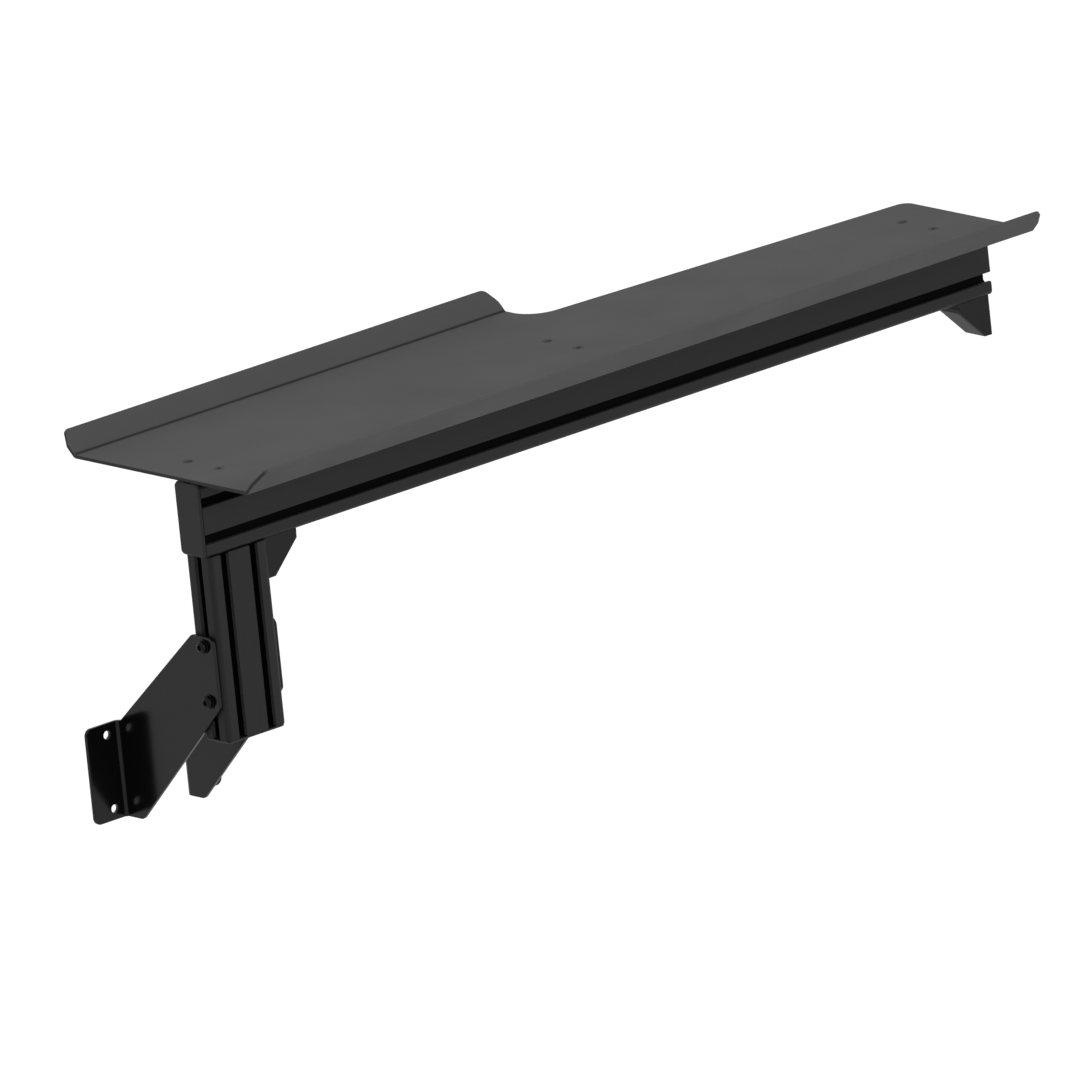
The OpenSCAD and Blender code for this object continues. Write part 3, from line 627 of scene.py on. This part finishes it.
def end_cap():
    """Cap seated on z = 0: a rounded rectangle with a rounded upper edge, and a ribbed peg for each core bore.

    The six ribs of a peg stand 0.35 ((1 + cos 6a) / 2)^2 proud.
    """
    side_x, side_y = GRID - 0.8, GRID / 2 - 0.8
    slab_t, corner_r, edge_r, peg_l = 2.5, 5.2, 2.0, 14.0
    corners = [(-side_x, -side_y), (side_x, -side_y), (side_x, side_y), (-side_x, side_y)]
    line = rounded(corners, [corner_r] * 4, 6.0)
    a = np.linspace(0, math.pi / 2, 9)
    upper = np.stack([edge_r * (1 - np.cos(a)), slab_t - edge_r * (1 - np.sin(a))], 1).tolist()
    slab = carried([(line, [(0.2, 0), (0, 0.15)] + upper)])
    angle = np.linspace(0, 2 * math.pi, 48, endpoint=False)
    rib = 0.35 * (0.5 + 0.5 * np.cos(6 * angle)) ** 2
    rows = [(2.2, 0.0), (2.85 + rib, 1.2), (2.95 + rib, 2.0), (2.95 + rib, peg_l + 0.8), (2.2, peg_l + 1.0)]
    peg = turned_rows(rows, 48)
    return joined([slab] + [stood(peg, (0, 0, 1), (x, 0, -peg_l)) for x in (-GRID / 2, GRID / 2)])


def hexagon(apothem, columns):
    """Radii of a hexagon over a full turn: apothem / cos of the angle to the nearest flat's middle."""
    angle = np.linspace(0, 2 * math.pi, columns, endpoint=False)
    return apothem / np.cos((angle + math.pi / 6) % (math.pi / 3) - math.pi / 6)


def button_bolt():
    """Low round-head bolt with its head's seat on z = 0: a short rim, a dome, a hexagon socket, shank to -Z.

    With f the radius of the flat on top, e the height of the rim and a from 0 to a right angle, the dome has
    the radius f + (R - f) cos a and the height e + (H - e) sin a.
    """
    flat_r, rim = 3.7, 1.2
    key = hexagon(2.5, 72)
    a = np.linspace(0, math.pi / 2, 8)
    dome = np.stack([flat_r + (HEAD_R - flat_r) * np.cos(a), rim + (HEAD_H - rim) * np.sin(a)], 1).tolist()
    rows = [(3.1, -BOLT_L), (3.95, -BOLT_L + 0.8), (3.95, -0.35), (4.15, -0.02), (5.9, 0.0), (6.4, 0.25)]
    rows += dome + [(3.05, HEAD_H), (2.95, HEAD_H - 0.08)]
    rows += [(key, HEAD_H - 0.35), (key, 2.2), (key * 0.95, 2.05), (key * 0.15, 1.6)]
    return turned_rows(rows, 72)


def flat_screw():
    """Countersunk screw with its head's face on z = 0: a 90 degree cone with a short rim, and a socket."""
    key = hexagon(2.0, 96)
    rows = [(2.4, -SCREW_L), (2.95, -SCREW_L + 0.6), (2.95, -3.05), (5.72, -0.32), (5.82, -0.2), (5.8, -0.06)]
    rows += [(5.65, 0.0), (2.6, 0.0), (2.45, -0.05), (key, -0.28), (key, -1.7), (0.4, -2.0)]
    return turned_rows(rows, 96)


def washer():
    """Flat washer on z = 0 with its stamped edges rounded."""
    inner, outer = 4.25, 7.95
    corners = [(inner, 0), (outer, 0), (outer, WASHER_T), (inner, WASHER_T)]
    section = rounded(corners, [0.2, 0.3, 0.3, 0.2], 30.0)
    return turned(np.repeat(section[:, :1], 72, 1), section[:, 1], ring=True)


def bracket_blank(edge_r):
    """Flat blank of a rig bracket as z, y along the sheet and h through it, and where its bend starts."""
    low, high = ends("right_bracket")
    start = -(PLATE_BEND_R + PLATE_T)
    bend = bend_length(PLATE_BEND_R, PLATE_T, math.pi / 2)
    tip = start + bend + high[0] - low[0] - PLATE_BEND_R - PLATE_T
    front, top, foot = low[1], high[2], low[2]
    corners = [
        ((foot, CRANK_Y), PLATE_CORNER_R),
        ((top - CLAMP_EDGE, front), PLATE_CORNER_R),
        ((top, front), PLATE_CORNER_R),
        ((top, front + CLAMP_TOP), PLATE_CORNER_R),
        ((-foot, start), PLATE_INNER_R),
        ((-foot, tip), PLATE_CORNER_R),
        ((foot, tip), PLATE_CORNER_R),
    ]
    line = rounded([place for place, _ in corners], [r for _, r in corners], 5.0)
    bolt_y = start + bend + RIG_BOLT_OUT - PLATE_BEND_R
    places = [(-RIG_BOLT_Z, bolt_y), (RIG_BOLT_Z, bolt_y)] + [(z, MIDDLE_Y) for z in CLAMP_Z]
    rim = soft_edges(PLATE_T, 0.4, 3)
    holes = [(hole(place, PLATE_BORE_R), rim) for place in places]
    return carried([(line, soft_edges(PLATE_T, edge_r))] + holes), start


# Settings

COLOUR = {"subtype": "COLOR", "size": 4, "min": 0, "max": 1}


class SideTableTray(PropertyGroup):
    """Sizes and looks of the tray"""

    colour: FloatVectorProperty(
        name="Coat colour", description="Colour of the tray's powder coat", default=linear("#525253"), **COLOUR
    )
    edge_r: FloatProperty(
        name="Edge radius", description="Radius of the tray's coated edges",
        default=0.0008, min=0.0002, max=0.0018, unit="LENGTH",
    )
    grain: FloatProperty(
        name="Texture width", description="Width of the coat's pebbles",
        default=0.0008, min=0.0003, max=0.003, unit="LENGTH",
    )
    roughness: FloatProperty(
        name="Roughness", description="Roughness of the textured coat", default=0.8, min=0.1, max=1
    )


class SideTableProfiles(PropertyGroup):
    """Sizes and looks of the beam and the post"""

    colour: FloatVectorProperty(
        name="Oxide colour", description="Colour of the anodised profiles", default=linear("#141415"), **COLOUR
    )
    chamfer: FloatProperty(
        name="End chamfer", description="Chamfer on the sawn ends",
        default=0.0003, min=0.0001, max=0.0006, unit="LENGTH",
    )
    roughness: FloatProperty(name="Roughness", description="Roughness of the oxide skin", default=0.6, min=0.1, max=1)


class SideTableBrackets(PropertyGroup):
    """Sizes and looks of the rig brackets"""

    colour: FloatVectorProperty(
        name="Coat colour", description="Colour of the brackets' powder coat", default=linear("#0f0f10"), **COLOUR
    )
    edge_r: FloatProperty(
        name="Edge radius", description="Radius of the brackets' coated edges",
        default=0.0007, min=0.0002, max=0.0018, unit="LENGTH",
    )
    roughness: FloatProperty(name="Roughness", description="Roughness of the satin coat", default=0.16, min=0.05, max=1)


class SideTableMouldings(PropertyGroup):
    """Sizes and looks of the caps, the castings and their covers"""

    colour: FloatVectorProperty(
        name="Plastic colour", description="Colour of the caps and covers", default=linear("#151517"), **COLOUR
    )
    cast_colour: FloatVectorProperty(
        name="Casting colour", description="Colour of the coated castings", default=linear("#0c0c0d"), **COLOUR
    )
    edge_r: FloatProperty(
        name="Edge radius", description="Radius of the castings' and covers' edges",
        default=0.001, min=0.0002, max=0.0015, unit="LENGTH",
    )


class SideTableFasteners(PropertyGroup):
    """Looks of the bolts, washers, screws and nuts"""

    colour: FloatVectorProperty(
        name="Black steel", description="Colour of the blackened bolts and washers", default=linear("#202021"), **COLOUR
    )
    screws: FloatVectorProperty(
        name="Screw coat", description="Colour of the coated countersunk screws", default=linear("#454546"), **COLOUR
    )
    plated: FloatVectorProperty(
        name="Plated steel", description="Colour of the zinc plated nuts", default=linear("#b4b8bc"), **COLOUR
    )
    roughness: FloatProperty(
        name="Black roughness", description="Roughness of the blackened steel", default=0.36, min=0.1, max=0.9
    )


class SideTableStage(PropertyGroup):
    """Floor, room and lamps"""

    floor: FloatVectorProperty(
        name="Floor colour", description="Colour of the studio floor", default=linear("#d0d0d0"), **COLOUR
    )
    drop: FloatProperty(
        name="Floor depth", description="How far the floor lies under the rig bolts",
        default=0.36, min=0.06, max=2, unit="LENGTH",
    )
    surround: FloatProperty(
        name="Surround", description="Brightness of the room that lights the object", default=0.52, min=0, max=2
    )
    left_side: FloatProperty(
        name="Left side", description="Brightness of the room towards the left", default=0.12, min=0, max=1
    )
    lift: FloatProperty(
        name="Floor lift", description="Glow that shows the floor white but gives no light", default=0.72, min=0, max=1
    )
    key: FloatProperty(
        name="Key lamp", description="Power of the lamp above", default=9.0, min=0, max=200, unit="POWER"
    )
    front: FloatProperty(
        name="Front lamp", description="Power of the soft lamp in front", default=38.0, min=0, max=200, unit="POWER"
    )


# Operators


class SIDETABLE_OT_tray(Operator):
    """Bends the sheet tray with its two lips and countersunk holes"""

    bl_idname = "side_table.tray"
    bl_label = "Tray"

    def execute(self, context):
        setting = context.scene.side_table_tray
        shape, front_start, rear_start, length = tray_blank(setting.edge_r / MM)
        mesh = new_mesh("tray_sheet", shape)
        margin = 1.5
        steps = np.concatenate([[-margin, -0.8], np.linspace(0, length, 13), length + np.array([0.5, 1.0, margin])])
        cut_across(mesh, np.concatenate([front_start - steps, rear_start + steps]).tolist())
        # Painted shade: upper faces across each bend, darkest in its middle, for the shadow in the bend, and the cut
        # ends at 0.4, for the dim light on them
        middle, normal = read_faces(mesh, "center"), read_faces(mesh, "normal")
        into = np.maximum(front_start - middle[:, 1], middle[:, 1] - rear_start)
        near = 1 - ((into - length / 2) / (length / 2 + margin)) ** 2
        upper = (np.abs(normal[:, 2]) > 0.99) & (middle[:, 2] > SHEET_T / 2)
        cut = 0.4 * (np.abs(normal[:, 0]) > 0.7)
        mark_faces(mesh, "painted_shade_mark", np.maximum(np.clip(1.5 * near, 0, 1) * upper, cut))
        co = read_points(mesh)
        co = bent(co, front_start, -1, SHEET_BEND_R, SHEET_T, LIP_TURN)
        co = bent(co, rear_start, 1, SHEET_BEND_R, SHEET_T, LIP_TURN)
        low, high = ends("beam")
        co += (low[0], 0, high[2])
        colour, height = tuple(setting.colour), 0.00006
        coat = powder_coat("charcoal textured powder coat", colour, setting.grain, height, setting.roughness, 1.4)
        add_piece("tray_sheet", mesh, co, ["tray"], coat)
        return {"FINISHED"}


class SIDETABLE_OT_profiles(Operator):
    """Carries the slotted section along the beam and up the post"""

    bl_idname = "side_table.profiles"
    bl_label = "Beam and Post"

    def execute(self, context):
        setting = context.scene.side_table_profiles
        # Each with its axis, how much wider its chamfer is, and how strong the painted light on its slots' lips is
        for node, along, sawn, mouth_light in (("beam", 0, 1, 0.3), ("post", 2, 4, 1.0)):
            low, high = ends(node)
            length = high[along] - low[along]
            co, faces = carried(profile_walls(profile_length(length, sawn * setting.chamfer / MM)))
            flat = new_mesh(node + "_profile", (co, faces))
            face, normal = read_faces(flat, "center"), read_faces(flat, "normal")
            depth = np.minimum(GRID - np.abs(face[:, 0]), GRID / 2 - np.abs(face[:, 1]))
            square = np.abs(normal[:, :2]).max(1) > 0.99
            mouth, inside = 0.9, SLOT_LIP - 0.6
            # Painted light on the slots' lips, which lie in shade, and painted shade on the walls deeper in the slots
            mark_faces(flat, "mouth", mouth_light * ((depth > mouth) & (depth < inside) & square))
            mark_faces(flat, "recess", (depth >= inside) & (np.abs(normal[:, 2]) < 0.5))
            middle = (low + high) / 2
            if along == 0:
                co = np.stack([co[:, 2] + low[0], co[:, 1] + middle[1], co[:, 0] + middle[2]], 1)
            else:
                co = co + (middle[0], middle[1], low[2])
            skin = anodised_aluminium("black anodised " + node, tuple(setting.colour), along, setting.roughness)
            add_piece(node + "_profile", flat, co, [node], skin)
        return {"FINISHED"}


class SIDETABLE_OT_end_caps(Operator):
    """Moulds the end caps of the beam and the post"""

    bl_idname = "side_table.end_caps"
    bl_label = "End Caps"

    def execute(self, context):
        setting = context.scene.side_table_mouldings
        plastic = shared_material("grained black plastic", grained_plastic, tuple(setting.colour), 0.58)
        cap = end_cap()
        for carrier, axis in (("beam", (-1, 0, 0)), ("post", (0, 0, -1))):
            low, high = ends(carrier)
            seat = np.where(axis, low, (low + high) / 2)
            add_shape(carrier + "_cap", stood(cap, axis, seat), [carrier + "_end_cap"], plastic)
        return {"FINISHED"}


class SIDETABLE_OT_rig_brackets(Operator):
    """Cuts and bends the two cranked rig brackets"""

    bl_idname = "side_table.rig_brackets"
    bl_label = "Rig Brackets"

    def execute(self, context):
        setting = context.scene.side_table_brackets
        coat = powder_coat("satin black powder coat", tuple(setting.colour), 0.0012, 0.000008, setting.roughness, 1.285)
        inner = ends("right_bracket")[0][0]
        bend = bend_length(PLATE_BEND_R, PLATE_T, math.pi / 2)
        for node, side in (("left_bracket", -1), ("right_bracket", 1)):
            shape, start = bracket_blank(setting.edge_r / MM)
            mesh = new_mesh(node + "_plate", shape)
            cut_across(mesh, (start + np.linspace(0, bend, 19)).tolist())
            co = bent(read_points(mesh), start, 1, PLATE_BEND_R, PLATE_T, math.pi / 2)
            co = np.stack([side * (co[:, 2] + inner), co[:, 1], co[:, 0]], 1)
            add_piece(node + "_plate", mesh, co, [node], coat, "rig_clamp")
        return {"FINISHED"}


class SIDETABLE_OT_corner_brackets(Operator):
    """Softens the two corner castings and their snap-on covers"""

    bl_idname = "side_table.corner_brackets"
    bl_label = "Corner Brackets"

    def execute(self, context):
        setting = context.scene.side_table_mouldings
        cast = powder_coat("coated black casting", tuple(setting.cast_colour), 0.001, 0.00004, 0.6, 1.3)
        plastic = shared_material("grained black plastic", grained_plastic, tuple(setting.colour), 0.58)
        for place in ("near", "far"):
            add_softened(place + "_corner_casting", place + "_corner_bracket", setting.edge_r, cast)
            add_softened(place + "_cover", place + "_corner_cover", setting.edge_r * 0.8, plastic)
        return {"FINISHED"}


class SIDETABLE_OT_fasteners(Operator):
    """Turns the bolts, washers and countersunk screws, and plates the slot nuts"""

    bl_idname = "side_table.fasteners"
    bl_label = "Fasteners"

    def execute(self, context):
        setting = context.scene.side_table_fasteners
        black = finished_steel("blackened steel", tuple(setting.colour), setting.roughness, 0.15)
        treated = powder_coat("zinc flake coated screws", tuple(setting.screws), 0.0009, 0.00002, 0.8, 1.35)
        zinc = finished_steel("zinc plated steel", tuple(setting.plated), 0.28, 0.06)
        bolt, ring, screw = button_bolt(), washer(), flat_screw()
        beam_low, beam_high = ends("beam")
        face = ends("right_bracket")[0][0] + PLATE_T
        clamp = {
            side: [((side, 0, 0), np.array([side * face, MIDDLE_Y, z]), 0.4 + z * side * 0.01) for z in CLAMP_Z]
            for side in (-1, 1)
        }
        corner = np.array([ends("post")[1][0], MIDDLE_Y, beam_low[2]])
        far_seat = np.array([beam_high[0] - FAR_GAP - BOLT_AT, MIDDLE_Y, beam_low[2] - LEG_T])
        down, right = (0, 0, -1), (1, 0, 0)
        near = [(down, corner + (BOLT_AT, 0, -LEG_T), 0.3), (right, corner + (LEG_T, 0, -BOLT_AT), 0.1)]
        far = [(down, far_seat, 0.7)]
        rows = (
            ("left", clamp[-1], "rig_clamp", "left_clamp_bolts", "left_washers", "left_clamp_washers"),
            ("right", clamp[1], "rig_clamp", "right_clamp_bolts", "right_washers", "right_clamp_washers"),
            ("near_corner", near, "table", "near_corner_bolts", "near_corner_washers_turned", "near_corner_washers"),
            ("far_corner", far, "table", "far_corner_bolt", "far_corner_washers_turned", "far_corner_washer"),
        )
        for name, seats, body, bolt_node, ring_name, ring_node in rows:
            bolts = [stood(bolt, axis, place + np.array(axis) * WASHER_T, spin) for axis, place, spin in seats]
            rings = [stood(ring, axis, place) for axis, place, _ in seats]
            add_shape(name + "_round_bolts", joined(bolts), [bolt_node], black, body)
            add_shape(ring_name, joined(rings), [ring_node], black, body)
        start, top = beam_low[0] + SCREW_FIRST, ends("tray_screws")[1][2]
        seats = [((start + k * SCREW_PITCH, MIDDLE_Y, top), 0.2 + 0.35 * k) for k in range(SCREW_COUNT)]
        screws = [stood(screw, (0, 0, 1), place, spin) for place, spin in seats]
        add_shape("tray_flat_screws", joined(screws), ["tray_screws"], treated)
        for node in ("tray_nuts", "left_clamp_nuts", "right_clamp_nuts", "near_corner_nuts", "far_corner_nut"):
            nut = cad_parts[node]
            if not nut.material_slots:
                raise RuntimeError(node + " has no material slot")
            for slot in nut.material_slots:
                slot.material = zinc
        return {"FINISHED"}


class SIDETABLE_OT_stage(Operator):
    """Sets the pale floor, the soft lamps, the room and the camera of the photograph"""

    bl_idname = "side_table.stage"
    bl_label = "Studio"

    def execute(self, context):
        setting = context.scene.side_table_stage
        self.floor(setting)
        self.room(context, setting)
        self.lamps(setting)
        self.camera(context)
        context.scene.view_settings.view_transform = "Standard"
        return {"FINISHED"}

    def floor(self, setting):
        """A plain pale sheet that shows white to the eye and in reflections but keeps the object's shadow."""
        low, high = -5.0, 7.0
        corners = [(low, low), (high, low), (high, high), (low, high)]
        mesh = bpy.data.meshes.new("studio_floor")
        mesh.from_pydata([(x, y, -setting.drop) for x, y in corners], [], [(0, 1, 2, 3)])
        material, tree = empty_material("pale studio floor")
        paint = {"Base Color": tuple(setting.floor), "Roughness": 0.9, "IOR": 1.3}
        shader = put(tree, "ShaderNodeBsdfPrincipled", paint)
        lift = put(tree, "ShaderNodeMath", {1: setting.lift}, {0: self.shown(tree)}, operation="MULTIPLY")
        glow = put(tree, "ShaderNodeEmission", {"Color": (1, 1, 1, 1)}, {"Strength": lift.outputs[0]})
        both = put(tree, "ShaderNodeAddShader", None, {0: shader.outputs[0], 1: glow.outputs[0]})
        put(tree, "ShaderNodeOutputMaterial", None, {"Surface": both.outputs[0]})
        mesh.materials.append(material)
        linked("studio_floor", mesh)

    def room(self, context, setting):
        """White to the eye and in reflections, and a soft grey room to everything else, dimmer on the left."""
        world = bpy.data.worlds.new("studio room")
        context.scene.world = world
        world.use_nodes = True
        tree = world.node_tree
        tree.nodes.clear()
        way = put(tree, "ShaderNodeTexCoord").outputs["Generated"]
        left = put(tree, "ShaderNodeVectorMath", {1: (-1, 0, 0)}, {0: way}, operation="DOT_PRODUCT")
        span = {"From Min": 0.0, "From Max": 0.9, "To Min": setting.surround, "To Max": setting.left_side}
        turn = {"Value": left.outputs["Value"]}
        level = put(tree, "ShaderNodeMapRange", span, turn, interpolation_type="SMOOTHSTEP")
        sources = {0: self.shown(tree), NUMBER_A: level.outputs[0]}
        strength = put(tree, "ShaderNodeMix", {NUMBER_B: 1.0}, sources, data_type="FLOAT")
        back = put(tree, "ShaderNodeBackground", {"Color": (1, 1, 1, 1)}, {"Strength": strength.outputs[0]})
        put(tree, "ShaderNodeOutputWorld", None, {"Surface": back.outputs[0]})

    def shown(self, tree):
        """1 for rays that show the background, from the eye, off a gloss or through glass, and 0 for light."""
        path = put(tree, "ShaderNodeLightPath")
        seen = path.outputs["Is Camera Ray"]
        for ray in ("Is Glossy Ray", "Is Transmission Ray"):
            seen = put(tree, "ShaderNodeMath", None, {0: seen, 1: path.outputs[ray]}, operation="MAXIMUM").outputs[0]
        return seen

    def lamps(self, setting):
        """A large soft lamp overhead and one in front, a little to the right."""
        size = 2.4
        rows = (
            ("overhead lamp", (0.2, 0.3, 2.9), (0.45, -0.12, 0.3), setting.key),
            ("front lamp", (0.8, -3.2, 1.3), (0.4, -0.15, 0.25), setting.front),
        )
        for name, place, target, power in rows:
            lamp = bpy.data.lights.new(name, "AREA")
            lamp.shape = "SQUARE"
            lamp.size = size
            lamp.energy = power
            holder = linked(name, lamp)
            way = Vector(target) - Vector(place)
            holder.matrix_world = Matrix.Translation(place) @ way.to_track_quat("-Z", "Y").to_matrix().to_4x4()
            holder.visible_camera = False

    def camera(self, context):
        """A very long lens from 50 m, 39.8 degrees left of the front, 15.7 degrees up and turned by 6 degrees.

        The photograph has no perspective, so the lens is as long as the other views allow.
        """
        distance, to_right, to_top = 50.0202, 0.404545, 0.225763
        right = Vector((0.746387, -0.657893, -0.100414)).normalized()
        back = Vector((-0.615678, -0.739879, 0.271145)).normalized()
        up = back.cross(right).normalized()
        right = up.cross(back)
        data = bpy.data.cameras.new("picture camera")
        data.sensor_width = 36
        data.lens = 1600
        data.clip_start = 1.0
        data.clip_end = distance * 3
        place = to_right * right + to_top * up + distance * back
        holder = linked("picture camera", data)
        turn = Matrix((right, up, back)).transposed().to_4x4()
        holder.matrix_world = Matrix.Translation(place) @ turn
        context.scene.camera = holder


class SIDETABLE_PT_panel(Panel):
    """Lists the pieces of the side table with their settings"""

    bl_idname = "SIDETABLE_PT_panel"
    bl_label = "Side Table"
    bl_space_type = "VIEW_3D"
    bl_region_type = "UI"
    bl_category = "Side Table"

    def draw(self, context):
        for operators, name, _ in PIECES:
            box = self.layout.box()
            for operator in operators:
                box.operator(operator.bl_idname)
            setting = getattr(context.scene, name)
            for key in setting.__annotations__:
                box.prop(setting, key)


PIECES = (
    ((SIDETABLE_OT_tray,), "side_table_tray", SideTableTray),
    ((SIDETABLE_OT_profiles,), "side_table_profiles", SideTableProfiles),
    ((SIDETABLE_OT_rig_brackets,), "side_table_brackets", SideTableBrackets),
    ((SIDETABLE_OT_end_caps, SIDETABLE_OT_corner_brackets), "side_table_mouldings", SideTableMouldings),
    ((SIDETABLE_OT_fasteners,), "side_table_fasteners", SideTableFasteners),
    ((SIDETABLE_OT_stage,), "side_table_stage", SideTableStage),
)


def register():
    """Adds the settings, the operators and the panel."""
    for operators, name, group in PIECES:
        bpy.utils.register_class(group)
        for operator in operators:
            bpy.utils.register_class(operator)
        setattr(bpy.types.Scene, name, PointerProperty(type=group))
    bpy.utils.register_class(SIDETABLE_PT_panel)


def unregister():
    """Takes them out again, last ones first."""
    bpy.utils.unregister_class(SIDETABLE_PT_panel)
    for operators, name, group in reversed(PIECES):
        delattr(bpy.types.Scene, name)
        for operator in operators:
            bpy.utils.unregister_class(operator)
        bpy.utils.unregister_class(group)


def main():
    register()
    bpy.ops.side_table.tray()
    bpy.ops.side_table.profiles()
    bpy.ops.side_table.rig_brackets()
    bpy.ops.side_table.end_caps()
    bpy.ops.side_table.corner_brackets()
    bpy.ops.side_table.fasteners()
    bpy.ops.side_table.stage()


if __name__ == "__main__":
    main()
